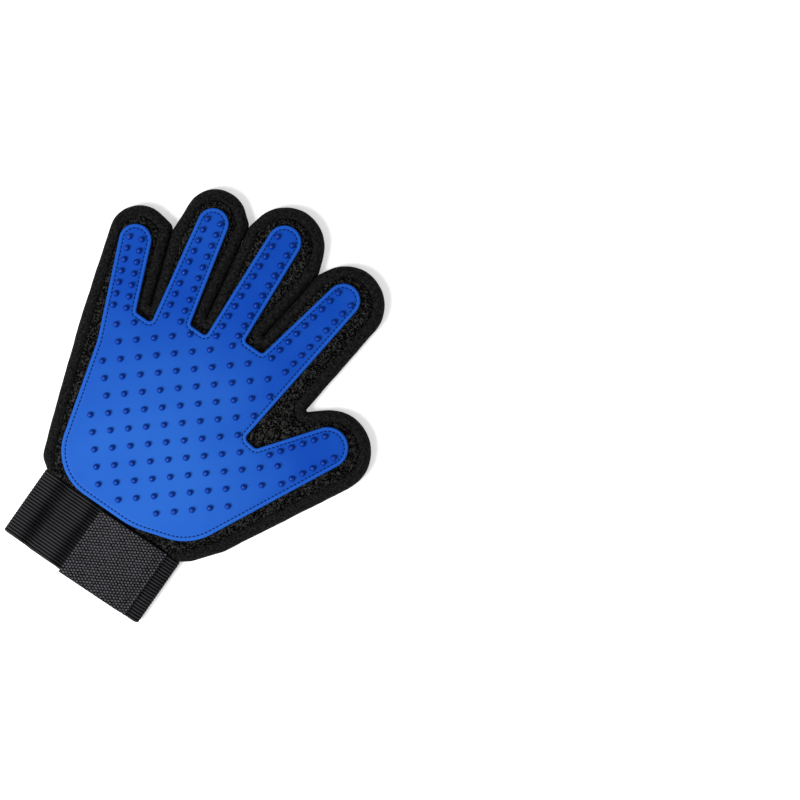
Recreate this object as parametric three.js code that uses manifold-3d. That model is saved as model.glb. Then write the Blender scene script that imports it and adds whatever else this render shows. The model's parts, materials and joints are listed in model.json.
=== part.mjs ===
// Grooming glove for the right hand, lying on its back. +X is the thumb side, +Y runs to the
// fingertips and +Z is the rubber face. The origin is on the flat back, under the middle of the palm.
import * as THREE from 'three';
import { mergeGeometries, mergeVertices } from 'three/addons/utils/BufferGeometryUtils.js';
import Module from 'manifold-3d';

const wasm = await Module();
wasm.setup();

// Overall sizes of the glove in mm, and the size that the tables below are drawn for.
const GLOVE_WIDTH = 187;
const GLOVE_LENGTH = 234;
const TABLE_WIDTH = 187;
const TABLE_LENGTH = 234;
const ORIGIN_FROM_WRIST = 100;

// The layers from the back of the glove to the tips of its nubs.
const BACK_THICKNESS = 1.6;
const HAND_SPACE = 7;
const MESH_THICKNESS = 1.6;
const RUBBER_THICKNESS = 1.8;
const NUB_HEIGHT = 2.7;
const NUB_RADIUS = 1.5;
const NUB_TOP_RADIUS = 0.9;
const NUB_PITCH = 6.25;
const NUB_EDGE = 3;
const LATTICE_REACH = 12;

// The knit side wall that joins the two faces, with a rounded edge.
const WALL_WIDTH = 4;
const WALL_EDGE = 2;
const WEB_ABOVE_KNUCKLE = 20;

// The elastic wrist band and the hook tab that closes it.
const BAND_WIDTH = 88;
const BAND_HEIGHT = 40;
const BAND_THICKNESS = 1.8;
const BAND_DEPTH = 9;
const FLAP_END = 29;
const STUB_START = 33;
const TAB_START = -6.5;
const TAB_END = 36.2;
const TAB_THICKNESS = 1.6;
const TAB_DROP = 1;
const LOOP_THICKNESS = 1;
const LOOP_MARGIN = 4;

// Clearances between neighbouring pieces.
const GAP = 0.3;
const LANE_GAP = 0.8;
const NUB_CLEARANCE = NUB_RADIUS + GAP / 2;

const ARC_STEPS = 40;
const CORNER_RADIUS = 8;
const FAR = 300;

const backTop = BACK_THICKNESS;
const meshBottom = backTop + HAND_SPACE;
const meshTop = meshBottom + MESH_THICKNESS;
const rubberBottom = meshTop + GAP;
const rubberTop = rubberBottom + RUBBER_THICKNESS;

const gradeX = GLOVE_WIDTH / TABLE_WIDTH;
const gradeY = GLOVE_LENGTH / TABLE_LENGTH;

// A round peg of an outline: its centre from the middle of the wrist edge, and its radius.
function peg(x, y, radius) {
  return { x: x * gradeX, y: y * gradeY - ORIGIN_FROM_WRIST * gradeY, radius: radius * gradeX };
}

// A peg that rests on a line across the glove, at a distance from the wrist edge.
function restingPeg(x, low, radius) {
  const { x: centre, y: line } = peg(x, low, 0);
  return { x: centre, y: line + radius * gradeX, radius: radius * gradeX };
}

// Each finger's rubber strip runs from one peg to another. Free is the length from the knuckle to
// the strip's end, left and right are the fabric's half widths at the knuckle, and the cap is the
// fabric's fingertip: how far it lies beyond the knuckle, how far to the right, and its radius.
// The thumb folds on a line of its own, from the web to the heel of the hand: its fold is a point
// on that line and a point beyond it.
const fingers = [
  { name: 'pinky', strip: [peg(-56.1, 122.5, 8.3), peg(-74.5, 168.1, 8.7)], free: 33.4,
    left: 19, right: 13, cap: [37.6, 0, 15.8], spread: [3.6, 3.3], firstRow: -3.2, rows: 7 },
  { name: 'ring', strip: [peg(-31.3, 133.8, 9.9), peg(-45.4, 199.1, 8.4)], free: 52,
    left: 14, right: 14.8, cap: [55.8, 0, 15.3], spread: [4.3, 3.6], firstRow: -3.2, rows: 10 },
  { name: 'middle', strip: [peg(-3.7, 138.7, 10), peg(-8.4, 212.8, 9.1)], free: 52.4,
    left: 15.3, right: 15.5, cap: [53.7, 0.8, 18.4], spread: [5, 4.5], firstRow: -9.5, rows: 11 },
  { name: 'index', strip: [peg(25.3, 149.6, 11), peg(35.3, 205.4, 9.1)], free: 46,
    left: 15.8, right: 25.5, cap: [46.8, 2.8, 19.3], spread: [5.2, 4.6], firstRow: -3.2, rows: 9 },
  { name: 'thumb', strip: [peg(29.7, 67.1, 19.2), peg(73.6, 135.9, 11.2)], free: 38,
    left: 17, right: 26, cap: [39.8, 2.3, 20.5], spread: [8.4, 5.7], firstRow: 7.8, rows: 6,
    fold: [peg(63.1, 118.2, 0), peg(72.6, 121.3, 0)] },
];
const [pinky, ring, middle, index, thumb] = fingers;

const wristPegs = [restingPeg(-38, 40.3, 8), restingPeg(38, 40.3, 8), peg(-36, 76, 26), peg(44, 62, 14)];
const heelPegs = [restingPeg(-18.9, 40.7, 28.6), restingPeg(7.9, 41.1, 32.1)];
// Pegs that bound the nubs over the palm, which stay further from the edge round the heel.
const heelNubPegs = [restingPeg(-18.4, 45.8, 23.5), restingPeg(17.9, 45.8, 10.2)];
const webNubPeg = peg(33, 104, 8);
const thumbNubPeg = peg(29.7, 67.1, 14.9);
const nubOrigin = peg(0, 75.5, 0);
const nubStepUp = new THREE.Vector2(7.3, 6.3);
const nubStepDown = new THREE.Vector2(6.2, -7);

const fabricBlack = new THREE.MeshStandardMaterial({ color: 0x202124, roughness: 0.95, metalness: 0 });
const knitBlack = new THREE.MeshStandardMaterial({ color: 0x2a2a2d, roughness: 0.9, metalness: 0 });
const elasticBlack = new THREE.MeshStandardMaterial({ color: 0x2c2c2e, roughness: 0.85, metalness: 0 });
const tapeGrey = new THREE.MeshStandardMaterial({ color: 0x3a3a3c, roughness: 0.8, metalness: 0 });
const rubberBlue = new THREE.MeshStandardMaterial({ color: 0x1f5fd0, roughness: 0.45, metalness: 0 });

// ---- outlines ----

// The point reached from a start by going beyond it, towards an end, and then to the right.
function offsetPoint(start, root, end, beyond, right) {
  const along = new THREE.Vector2(end.x - root.x, end.y - root.y).normalize();
  const across = new THREE.Vector2(along.y, -along.x);
  return new THREE.Vector2(start.x, start.y).addScaledVector(along, beyond).addScaledVector(across, right);
}

// The point at a distance beyond a finger's knuckle and to the right of its middle.
function fingerPoint(finger, beyond, right) {
  const [root, end] = finger.strip;
  return offsetPoint(end, root, end, beyond - finger.free * gradeY, right);
}

// The point at a distance beyond the line that a finger bends on, and along that line.
function foldPoint(finger, beyond, right) {
  if (!finger.fold) {
    return fingerPoint(finger, beyond, right);
  }
  const [onLine, past] = finger.fold;
  return offsetPoint(onLine, onLine, past, beyond, right);
}

// How far a point lies beyond the line that a finger bends on.
function beyondFold(finger, point) {
  const start = foldPoint(finger, 0, 0);
  return foldPoint(finger, 1, 0).sub(start).dot(point.clone().sub(start));
}

function fingerPeg(finger, beyond, right, radius) {
  const centre = fingerPoint(finger, beyond, right);
  return { x: centre.x, y: centre.y, radius };
}

// The two pegs of a finger's fabric at its knuckle.
function knucklePegs(finger) {
  const left = fingerPeg(finger, 0, -(finger.left * gradeX - CORNER_RADIUS), CORNER_RADIUS);
  const right = fingerPeg(finger, 0, finger.right * gradeX - CORNER_RADIUS, CORNER_RADIUS);
  return [left, right];
}

function fingerPegs(finger) {
  const [beyond, right, radius] = finger.cap;
  return [...knucklePegs(finger), fingerPeg(finger, beyond * gradeY, right * gradeX, radius * gradeX)];
}

const palmPegs = [...wristPegs, ...fingers.flatMap(knucklePegs)];
const fingerRootPegs = [pinky.strip[0], ring.strip[0], middle.strip[0], index.strip[0]];
const padPegs = [...heelPegs, ...fingerRootPegs];

function turn(a, b, c) {
  return (b.x - a.x) * (c.y - a.y) - (b.y - a.y) * (c.x - a.x);
}

function halfHull(points) {
  const chain = [];
  for (const point of points) {
    while (chain.length > 1 && turn(chain.at(-2), chain.at(-1), point) <= 1e-6) {
      chain.pop();
    }
    chain.push(point);
  }
  return chain.slice(0, -1);
}

// The outline of a belt stretched around round pegs, each grown by the same amount.
function belt(pegs, grow = 0) {
  const points = [];
  for (const { x, y, radius } of pegs) {
    for (let i = 0; i < ARC_STEPS; i++) {
      const angle = (2 * Math.PI * (i + 0.5)) / ARC_STEPS;
      points.push(new THREE.Vector2(Math.cos(angle), Math.sin(angle)).multiplyScalar(radius + grow));
      points.at(-1).add({ x, y });
    }
  }
  points.sort((a, b) => a.x - b.x || a.y - b.y);
  return [...halfHull(points), ...halfHull(points.toReversed())];
}

function isInside(outline, point) {
  return outline.every((corner, i) => turn(corner, outline[(i + 1) % outline.length], point) > 0);
}

// ---- solids ----

function toSolid(geometry) {
  geometry.deleteAttribute('normal');
  geometry.deleteAttribute('uv');
  const merged = mergeVertices(geometry, 1e-4);
  return new wasm.Manifold(new wasm.Mesh({
    numProp: 3,
    vertProperties: new Float32Array(merged.attributes.position.array),
    triVerts: new Uint32Array(merged.index.array),
  }));
}

function slabGeometry(outline, low, high, edge = 0, edgeSteps = 2) {
  const geometry = new THREE.ExtrudeGeometry(new THREE.Shape(outline), {
    depth: high - low - 2 * edge,
    bevelEnabled: edge > 0,
    bevelThickness: edge,
    bevelSize: edge,
    bevelOffset: -edge,
    bevelSegments: edgeSteps,
  });
  return geometry.translate(0, 0, low + edge);
}

function slab(outline, low, high, edge, edgeSteps) {
  return toSolid(slabGeometry(outline, low, high, edge, edgeSteps));
}

function box(x0, x1, y0, y1, z0, z1) {
  const geometry = new THREE.BoxGeometry(x1 - x0, y1 - y0, z1 - z0);
  return toSolid(geometry.translate((x0 + x1) / 2, (y0 + y1) / 2, (z0 + z1) / 2));
}

// Everything on the palm's side of the line that a finger bends on, and a little beyond it.
function behindFold(finger, extra) {
  const corners = [[-FAR, -FAR], [-FAR, FAR], [extra, FAR], [extra, -FAR]];
  return slab(corners.map(([beyond, right]) => foldPoint(finger, beyond, right)), -FAR, FAR);
}

// The room that the four fingers take from the palm: one stepped line across the knuckles.
function fourFingerRoom() {
  const line = [fingerPoint(pinky, -GAP / 2, -FAR)];
  for (const finger of [pinky, ring, middle, index]) {
    if (finger !== pinky) {
      line.push(fingerPoint(finger, -GAP / 2, -finger.left * gradeX - LANE_GAP));
    }
    if (finger !== index) {
      line.push(fingerPoint(finger, -GAP / 2, finger.right * gradeX + LANE_GAP));
    }
  }
  line.push(fingerPoint(index, -GAP / 2, FAR));
  line.push(new THREE.Vector2(FAR, FAR), new THREE.Vector2(-FAR, FAR));
  return slab(line, -FAR, FAR);
}

// The room that the thumb takes, beyond its fold.
function thumbRoom() {
  return slab(belt(fingerPegs(thumb), LANE_GAP), -FAR, FAR).subtract(behindFold(thumb, -GAP / 2));
}

const fingerRoom = fourFingerRoom().add(thumbRoom());

// ---- pieces ----

const glove = new THREE.Group();
glove.name = 'grooming_glove';

function addPiece(name, body, material) {
  const { vertProperties, triVerts } = body.getMesh();
  const geometry = new THREE.BufferGeometry();
  geometry.setAttribute('position', new THREE.BufferAttribute(new Float32Array(vertProperties), 3));
  geometry.setIndex(new THREE.BufferAttribute(new Uint32Array(triVerts), 1));
  geometry.computeVertexNormals();
  const piece = new THREE.Mesh(geometry, material);
  piece.name = name;
  glove.add(piece);
}

// The mouth at the wrist, where the side walls stop and the panels run down to the band.
function mouth(inset) {
  const half = BAND_WIDTH / 2 - WALL_WIDTH - inset;
  const low = (BAND_HEIGHT + GAP) * gradeY - ORIGIN_FROM_WRIST * gradeY;
  return box(-half, half, inset > 0 ? low : low - WALL_WIDTH, low + 2 * WALL_WIDTH, -1, rubberTop);
}

// The palm and the root of the thumb as one slab, grown or shrunk all round.
function palmSlab(grow, low, high, edge) {
  const thumbRoot = slab(belt(fingerPegs(thumb), grow), low, high, edge);
  return slab(belt(palmPegs, grow), low, high, edge).add(thumbRoot);
}

// The palm's side walls: the belt around the palm, hollowed out and opened for the fingers.
function palmWalls() {
  const shell = palmSlab(0, 0, meshTop, WALL_EDGE).subtract(palmSlab(-WALL_WIDTH, -1, rubberTop));
  return shell.subtract(mouth(0)).subtract(fingerRoom);
}

// A flat fabric panel of the palm, inside its side walls.
function palmPanel(low, high) {
  const lip = mouth(GAP).intersect(slab(belt(palmPegs), low, high));
  return palmSlab(-WALL_WIDTH - GAP, low, high).add(lip).subtract(fingerRoom);
}

// The bottom of the strip of knit between two neighbouring fingers.
function crotchWall(first, second) {
  const half = WALL_WIDTH / 2;
  const start = fingerPeg(first, -half - GAP, first.right * gradeX - half, half);
  const end = fingerPeg(second, -half - GAP, half - second.left * gradeX, half);
  return slab(belt([start, end]), backTop + GAP, meshBottom - GAP).subtract(fingerRoom);
}

// ---- nubs ----

function nubGeometry({ x, y }) {
  const height = NUB_HEIGHT + RUBBER_THICKNESS / 2;
  const geometry = new THREE.CylinderGeometry(NUB_TOP_RADIUS, NUB_RADIUS, height, 6);
  geometry.rotateX(Math.PI / 2);
  return geometry.translate(x, y, rubberTop + NUB_HEIGHT - height / 2);
}

// The rows of two nubs along a finger's strip, some of them on the palm's side of its knuckle.
function rowNubs(finger) {
  const nubs = [];
  const [wide, narrow] = finger.spread;
  for (let row = 0; row < finger.rows; row++) {
    const across = gradeX * THREE.MathUtils.lerp(wide, narrow, row / finger.rows);
    const beyond = (finger.firstRow + row * NUB_PITCH) * gradeY;
    nubs.push(fingerPoint(finger, beyond, -across), fingerPoint(finger, beyond, across));
  }
  return nubs;
}

// A nub stands clear of the fold on one side of it or the other.
function fingerNubs(finger) {
  return rowNubs(finger).filter((nub) => beyondFold(finger, nub) > NUB_CLEARANCE);
}

function palmRowNubs(finger) {
  return rowNubs(finger).filter((nub) => beyondFold(finger, nub) < -NUB_CLEARANCE);
}

// Whether a nub fits on the palm's rubber: inside its edge, and clear of the fingers' fold lines.
function isOnPalm(point) {
  const onHeel = isInside(belt([...heelNubPegs, webNubPeg, ...fingerRootPegs], -NUB_EDGE), point);
  const onThumbRoot = isInside(belt([thumbNubPeg, thumb.strip[1]], -NUB_EDGE), point);
  const clearance = -NUB_RADIUS - 2 * GAP;
  return (onHeel || onThumbRoot) && fingers.every((finger) => beyondFold(finger, point) < clearance);
}

// The palm's nubs: the roots of the finger rows, and a diamond lattice over the rest.
function palmNubs() {
  const rows = fingers.flatMap(palmRowNubs);
  const nubs = [...rows];
  for (let up = -LATTICE_REACH; up <= LATTICE_REACH; up++) {
    for (let down = -LATTICE_REACH; down <= LATTICE_REACH; down++) {
      const point = new THREE.Vector2(nubOrigin.x, nubOrigin.y)
        .addScaledVector(nubStepUp, up)
        .addScaledVector(nubStepDown, down);
      const spaced = rows.every((nub) => nub.distanceTo(point) > NUB_PITCH);
      if (isOnPalm(point) && spaced) {
        nubs.push(point);
      }
    }
  }
  return nubs;
}

function withNubs(plate, nubs) {
  return plate.add(toSolid(mergeGeometries(nubs.map(nubGeometry))));
}

// ---- the palm ----

function rubberStrip(finger) {
  return slab(belt(finger.strip), rubberBottom, rubberTop);
}

function buildRubberPalm() {
  let plate = slab(belt(padPegs), rubberBottom, rubberTop);
  for (const finger of fingers) {
    plate = plate.add(rubberStrip(finger));
  }
  return withNubs(plate.subtract(fingerRoom), palmNubs());
}

const walls = palmWalls();
const webLine = fingerPoint(thumb, 0, 0).y + WEB_ABOVE_KNUCKLE * gradeY;

addPiece('back_panel', palmPanel(0, backTop), fabricBlack);
addPiece('palm_panel', palmPanel(meshBottom, meshTop), fabricBlack);
addPiece('palm_rubber', buildRubberPalm(), rubberBlue);
addPiece('outer_side_wall', walls.intersect(box(-FAR, 0, -FAR, FAR, -1, FAR)), knitBlack);
addPiece('inner_side_wall', walls.intersect(box(0, FAR, -FAR, webLine, -1, FAR)), knitBlack);
addPiece('web_wall', walls.intersect(box(0, FAR, webLine, FAR, -1, FAR)), knitBlack);
addPiece('pinky_ring_crotch', crotchWall(pinky, ring), knitBlack);
addPiece('ring_middle_crotch', crotchWall(ring, middle), knitBlack);
addPiece('middle_index_crotch', crotchWall(middle, index), knitBlack);

// ---- the fingers ----

// A finger's side wall, open towards the palm.
function buildFingerWall(finger) {
  const outer = slab(belt(fingerPegs(finger)), 0, meshTop, WALL_EDGE);
  const inner = slab(belt(fingerPegs(finger), -WALL_WIDTH), -1, rubberTop);
  return outer.subtract(inner).subtract(behindFold(finger, GAP / 2));
}

// A flat fabric panel of a finger, inside its side wall.
function buildFingerPanel(finger, low, high) {
  const panel = slab(belt(fingerPegs(finger), -WALL_WIDTH - GAP), low, high);
  return panel.subtract(behindFold(finger, GAP / 2));
}

function buildFingerRubber(finger) {
  return withNubs(rubberStrip(finger).subtract(behindFold(finger, GAP / 2)), fingerNubs(finger));
}

for (const finger of fingers) {
  addPiece(`${finger.name}_back_panel`, buildFingerPanel(finger, 0, backTop), fabricBlack);
  addPiece(`${finger.name}_palm_panel`, buildFingerPanel(finger, meshBottom, meshTop), fabricBlack);
  addPiece(`${finger.name}_side_wall`, buildFingerWall(finger), knitBlack);
  addPiece(`${finger.name}_rubber`, buildFingerRubber(finger), rubberBlue);
}

// ---- the wrist band ----

const bandLow = -ORIGIN_FROM_WRIST * gradeY;
const bandHigh = bandLow + BAND_HEIGHT * gradeY;

// A flat loop of elastic seen end on, then drawn out along the glove.
function bandLoop(inset) {
  const radius = BAND_DEPTH / 2;
  const reach = BAND_WIDTH / 2 - radius;
  const ends = [{ x: -reach, y: radius, radius }, { x: reach, y: radius, radius }];
  const geometry = slabGeometry(belt(ends, -inset), -bandHigh - inset, -bandLow + inset);
  return toSolid(geometry.rotateX(Math.PI / 2));
}

function buildBand() {
  const opening = box(FLAP_END, STUB_START, bandLow - 1, bandHigh + 1, BAND_DEPTH / 2, FAR);
  return bandLoop(0).subtract(bandLoop(BAND_THICKNESS)).subtract(opening);
}

const loopTop = BAND_DEPTH + GAP + LOOP_THICKNESS;
const tabBottom = loopTop + GAP;
const tabTop = tabBottom + TAB_THICKNESS;

function buildLoopPatch() {
  return box(TAB_START + LOOP_MARGIN, FLAP_END - LOOP_MARGIN / 2, bandLow + LOOP_MARGIN,
    bandHigh - LOOP_MARGIN, BAND_DEPTH + GAP, loopTop);
}

// The hook tape of the tab, with its sewn end turned down onto the band.
function buildTab() {
  const tape = box(TAB_START, TAB_END, bandLow - TAB_DROP, bandHigh - TAB_DROP, tabBottom, tabTop);
  const hem = box(STUB_START, TAB_END, bandLow - TAB_DROP, bandHigh - TAB_DROP, BAND_DEPTH + GAP, tabTop);
  return tape.add(hem);
}

addPiece('wrist_band', buildBand(), elasticBlack);
addPiece('loop_patch', buildLoopPatch(), fabricBlack);
addPiece('hook_tab', buildTab(), tapeGrey);

export default glove;
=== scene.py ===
# A grooming glove for the right hand, lying on its back with its rubber face up.
# +X is the thumb side, +Y runs to the fingertips, and every length is in metres.
import json
import math

import bmesh
import bpy
import numpy as np
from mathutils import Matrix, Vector
from mathutils.geometry import delaunay_2d_cdt


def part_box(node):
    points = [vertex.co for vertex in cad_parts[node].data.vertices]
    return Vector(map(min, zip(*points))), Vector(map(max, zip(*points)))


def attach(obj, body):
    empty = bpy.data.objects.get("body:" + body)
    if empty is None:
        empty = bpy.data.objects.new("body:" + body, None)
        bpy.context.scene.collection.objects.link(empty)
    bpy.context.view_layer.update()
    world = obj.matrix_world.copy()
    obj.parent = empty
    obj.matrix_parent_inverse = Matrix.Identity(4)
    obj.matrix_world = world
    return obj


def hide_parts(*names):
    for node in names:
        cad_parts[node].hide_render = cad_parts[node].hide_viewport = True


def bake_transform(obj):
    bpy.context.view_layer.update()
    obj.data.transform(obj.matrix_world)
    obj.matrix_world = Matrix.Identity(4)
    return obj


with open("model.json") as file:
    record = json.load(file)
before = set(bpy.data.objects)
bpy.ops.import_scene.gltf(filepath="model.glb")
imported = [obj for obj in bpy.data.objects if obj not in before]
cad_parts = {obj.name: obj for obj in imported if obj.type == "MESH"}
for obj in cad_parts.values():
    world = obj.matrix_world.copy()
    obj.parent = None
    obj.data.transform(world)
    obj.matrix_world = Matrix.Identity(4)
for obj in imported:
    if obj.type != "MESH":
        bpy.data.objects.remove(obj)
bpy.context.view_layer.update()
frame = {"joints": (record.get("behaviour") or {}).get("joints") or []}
scene = bpy.context.scene

# ---- Studio ----
# A pale table under two soft boxes. The camera looks straight down, turned so that the glove
# leans to the left, with room beside it for the other glove of the pair.
MM = 0.001
VIEW_TURN = math.radians(35)
VIEW_CENTRE = (0.0907, 0.0792)
VIEW_WIDTH = 0.432
LENS = 110.0
SENSOR = 36.0

camera = bpy.data.objects.new("camera", bpy.data.cameras.new("camera"))
scene.collection.objects.link(camera)
camera.data.lens = LENS
camera.data.sensor_width = SENSOR
camera.location = (*VIEW_CENTRE, VIEW_WIDTH * LENS / SENSOR)
camera.rotation_euler = (0, 0, VIEW_TURN)
scene.camera = camera


def soft_box(name, direction, distance, size, power):
    """A square light at a distance from the middle of the view, facing back to it."""
    lamp = bpy.data.objects.new(name, bpy.data.lights.new(name, "AREA"))
    scene.collection.objects.link(lamp)
    towards = Vector(direction).normalized()
    lamp.location = Vector((*VIEW_CENTRE, 0)) + towards * distance
    lamp.rotation_euler = towards.to_track_quat("Z", "Y").to_euler()
    lamp.data.size = size
    lamp.data.energy = power


soft_box("key_light", (-0.45, -0.85, 1.2), 1.3, 0.5, 17.0)
soft_box("fill_light", (0.5, 0.3, 1.2), 1.6, 1.8, 3.0)

world = bpy.data.worlds.new("studio")
scene.world = world
world.use_nodes = True
world.node_tree.nodes["Background"].inputs["Color"].default_value = (1, 1, 1, 1)
world.node_tree.nodes["Background"].inputs["Strength"].default_value = 0.36
scene.view_settings.view_transform = "Standard"


class Socket:
    """An output of a node, with the operators that add Math nodes to the same material."""

    def __init__(self, tree, output):
        self.tree, self.output = tree, output

    def node(self, kind, settings=None, **inputs):
        """Adds a node, gives it its settings, then its inputs: values, or Sockets to link."""
        made = self.tree.nodes.new(kind)
        for key, value in (settings or {}).items():
            setattr(made, key, value)
        for name, value in inputs.items():
            slot = made.inputs[int(name[1:]) if name[1:].isdigit() else name.replace("_", " ")]
            if isinstance(value, Socket):
                self.tree.links.new(value.output, slot)
            else:
                slot.default_value = value
        return made

    def out(self, kind, output, settings=None, **inputs):
        return Socket(self.tree, self.node(kind, settings, **inputs).outputs[output])

    def maths(self, operation, first, second=0.0):
        return self.out("ShaderNodeMath", 0, {"operation": operation}, _0=first, _1=second)

    def __add__(self, other):
        return self.maths("ADD", self, other)

    def __sub__(self, other):
        return self.maths("SUBTRACT", self, other)

    def __mul__(self, other):
        return self.maths("MULTIPLY", self, other)

    def __rsub__(self, other):
        return self.maths("SUBTRACT", other, self)

    def __pow__(self, other):
        return self.maths("POWER", self, other)

    def sin(self):
        return self.maths("SINE", self)

    def size(self):
        return self.maths("ABSOLUTE", self)

    def step(self, low, high):
        """0 below low, 1 above high, and smooth between them."""
        return self.out("ShaderNodeMapRange", 0, {"interpolation_type": "SMOOTHSTEP"},
                        Value=self, From_Min=low, From_Max=high)

    def noise(self, scale, detail=3.0):
        """Cloudy noise over this vector, from 0 to 1."""
        return self.out("ShaderNodeTexNoise", 0, {}, Vector=self, Scale=scale, Detail=detail)

    def parts(self):
        """The x, y and z of this vector."""
        split = self.node("ShaderNodeSeparateXYZ", {}, Vector=self)
        return [Socket(self.tree, split.outputs[i]) for i in range(3)]

    def blend(self, low, high):
        """The colour low where this mask is 0, and high where it is 1."""
        return self.out("ShaderNodeMix", 2, {"data_type": "RGBA"},
                        _0=self, _6=as_colour(low), _7=as_colour(high))


def as_colour(value):
    return value if isinstance(value, Socket) else (*value, 1)


def new_material(name, **constants):
    """A Principled material. Returns it, its shader and its Object coordinates."""
    material = bpy.data.materials.new(name)
    material.use_nodes = True
    tree = material.node_tree
    shader = tree.nodes["Principled BSDF"]
    for key, value in constants.items():
        shader.inputs[key.replace("_", " ")].default_value = value
    coordinates = tree.nodes.new("ShaderNodeTexCoord")
    material.diffuse_color = (*constants.get("Base_Color", (0.5, 0.5, 0.5))[:3], 1)
    return material, shader, Socket(tree, coordinates.outputs["Object"])


def connect(socket, shader, name):
    socket.tree.links.new(socket.output, shader.inputs[name])


def relief(height, shader, strength, distance):
    """Raises a surface by a height from 0 to 1 times a distance."""
    bump = height.out("ShaderNodeBump", 0, {}, Height=height, Strength=strength, Distance=distance)
    connect(bump, shader, "Normal")


TABLE_WHITE = (0.93, 0.93, 0.93, 1)
table_paint, table_shader, table_place = new_material("table_paint", Base_Color=TABLE_WHITE, Roughness=0.9)
table_shader.inputs["Emission Color"].default_value = (1, 1, 1, 1)
table_shader.inputs["Emission Strength"].default_value = 0.42
connect(table_place.noise(40.0) * 0.08 + 0.86, table_shader, "Roughness")
TABLE_SIDE, TABLE_TOP = 6, -0.2 * MM
bpy.ops.mesh.primitive_plane_add(size=TABLE_SIDE, location=(0, 0, TABLE_TOP))
table = bpy.context.object
table.name = "table"
table.data.materials.append(table_paint)

# ---- The glove's outline and its folds ----
# The fabric is sewn round one outline. It runs like a belt up the little finger's side, over each
# fingertip, down into each crotch, and down the thumb's side to the wrist.
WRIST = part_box("wrist_band")[0][1]


def round_pegs(pegs, closed, step=1.3 * MM, origin=(0, WRIST)):
    """The points of a belt round pegs, each (x, y, radius, side), in mm from an origin, and the
    belt's left normals. Side is 1 for a peg to the belt's right and -1 to its left.
    A straight run leaves one peg and meets the next where its normal n satisfies
    (c2 - c1) . n = r1 - r2, with radii signed by side."""
    pegs = np.array(pegs, float)
    centres = pegs[:, :2] * MM + origin
    radii = pegs[:, 2] * pegs[:, 3] * MM
    gaps = np.roll(centres, -1, 0) - centres
    drop = radii - np.roll(radii, -1)
    square = (gaps**2).sum(1)
    height = np.sqrt(square - drop**2)
    lefts = np.stack([-gaps[:, 1], gaps[:, 0]], 1)
    runs = (drop[:, None] * gaps + height[:, None] * lefts) / square[:, None]
    normals, places = [], []
    for i, (centre, radius, side) in enumerate(zip(centres, radii, pegs[:, 3])):
        if closed or 0 < i < len(pegs) - 1:
            start, end = (math.atan2(n[1], n[0]) for n in (runs[i - 1], runs[i]))
            turn = -((start - end) % math.tau) if side > 0 else (end - start) % math.tau
            count = 2 + int(max(abs(turn) / 0.14, abs(radius * turn) / step))
            angles = start + turn * np.linspace(0, 1, count)
            arc = np.stack([np.cos(angles), np.sin(angles)], 1)
            normals.append(arc)
            places.append(centre + radius * arc)
        else:
            normals.append(runs[min(i, len(pegs) - 2)][None])
            places.append(centre[None])
        if closed or i < len(pegs) - 1:
            begin = centre + radius * runs[i]
            finish = centres[(i + 1) % len(pegs)] + radii[(i + 1) % len(pegs)] * runs[i]
            count = int(np.linalg.norm(finish - begin) / step)
            share = (np.arange(1, count) / max(count, 1))[:, None]
            places.append(begin + share * (finish - begin))
            normals.append(np.repeat(runs[i][None], len(share), 0))
    return np.concatenate(places), np.concatenate(normals)


# Neighbouring fingers touch along a straight line, from the crotch to the point where they part.
# A small corner peg on each side of that point keeps both fingers against the line.
CONTACT = 0.03
CORNER = 5.0
# Each pair of fingers, with its crotch and its parting point, in mm from the wrist edge.
PARTINGS = {
    ("pinky", "ring"): ((-48.2, 145), (-61.5, 183)),
    ("ring", "middle"): ((-19.6, 156), (-29, 207.5)),
    ("middle", "index"): ((11, 166), (16, 208)),
}


def crotch_pegs(crotch, parting):
    """The left finger's corner peg, the crotch's peg and the right finger's corner peg."""
    along = np.subtract(parting, crotch) / np.linalg.norm(np.subtract(parting, crotch))
    right = np.array([along[1], -along[0]]) * (CORNER + CONTACT)
    return [(*(parting - right), CORNER, 1), (*crotch, CONTACT, -1), (*(parting + right), CORNER, 1)]


# The belt's pegs from the little finger's side of the wrist to the thumb's, in mm from its edge.
GLOVE_PEGS = [
    (-44, 40.3, 0, 1), (-42, 50, 9, 1), (-42, 76, 18, 1), (-18.6, 136.8, 60, 1),
    (-74.8, 171.3, 16.3, 1), *crotch_pegs(*PARTINGS["pinky", "ring"]),
    (-46.1, 201.5, 16.6, 1), *crotch_pegs(*PARTINGS["ring", "middle"]),
    (-7.1, 211.5, 21, 1), *crotch_pegs(*PARTINGS["middle", "index"]),
    (37.5, 204.1, 21, 1), (53.4, 146.4, 1.0, -1),
    (75.6, 134.7, 22.3, 1), (47, 66, 15, 1), (42, 50, 9, 1), (44, 40.3, 0, 1),
]
edge_points, edge_normals = round_pegs(GLOVE_PEGS, closed=False)

# The last few normals at each end of the outline turn until they point straight out sideways.
WRIST_TURN = 6
for end, start_angle in ((slice(0, WRIST_TURN), math.pi), (slice(-1, -1 - WRIST_TURN, -1), 0.0)):
    last = edge_normals[end][-1]
    turn = (math.atan2(last[1], last[0]) - start_angle + math.pi) % math.tau - math.pi
    angles = start_angle + turn * np.linspace(0, 1, WRIST_TURN)
    edge_normals[end] = np.stack([np.cos(angles), np.sin(angles)], 1)

# A finger's share of the cloth starts at a line just behind its joint, and ends at lines through
# the crotches beside it.
FOLD_START = {"pinky": -4, "ring": -3, "middle": -4, "index": -4, "thumb": -4}
folds = {}
for joint in frame["joints"]:
    if joint["name"].endswith("_bend"):
        axis = np.array(joint["axis"][:2])
        folds[joint["child"]] = (np.array(joint["pos_m"]), np.array([-axis[1], axis[0]]))


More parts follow.
